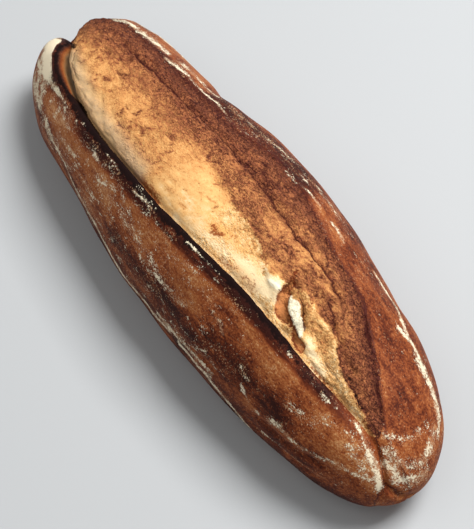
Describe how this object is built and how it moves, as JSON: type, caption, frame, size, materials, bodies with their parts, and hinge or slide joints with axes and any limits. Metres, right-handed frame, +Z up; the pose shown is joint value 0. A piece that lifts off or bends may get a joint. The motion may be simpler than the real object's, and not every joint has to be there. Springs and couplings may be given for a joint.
{
  "type": "sourdough loaf",
  "caption": "Long oval hearth loaf with one lengthwise score: a thin raised ear on one side, a broad torn band of pale dough on the other, and a flat sole.",
  "frame": {"origin": "centre of the loaf's box in plan, on the flat sole", "axes": "+X along the loaf towards the end where the score closes into a seam, -Y towards the ear's side, +Z up"},
  "size_m": [0.3474, 0.1188, 0.0825],
  "materials": {
    "crust": "matte baked crust, red-brown, with a paler torn band and flour patches"
  },
  "bodies": {
    "root": {"loaf": "crust"}
  },
  "joints": []
}
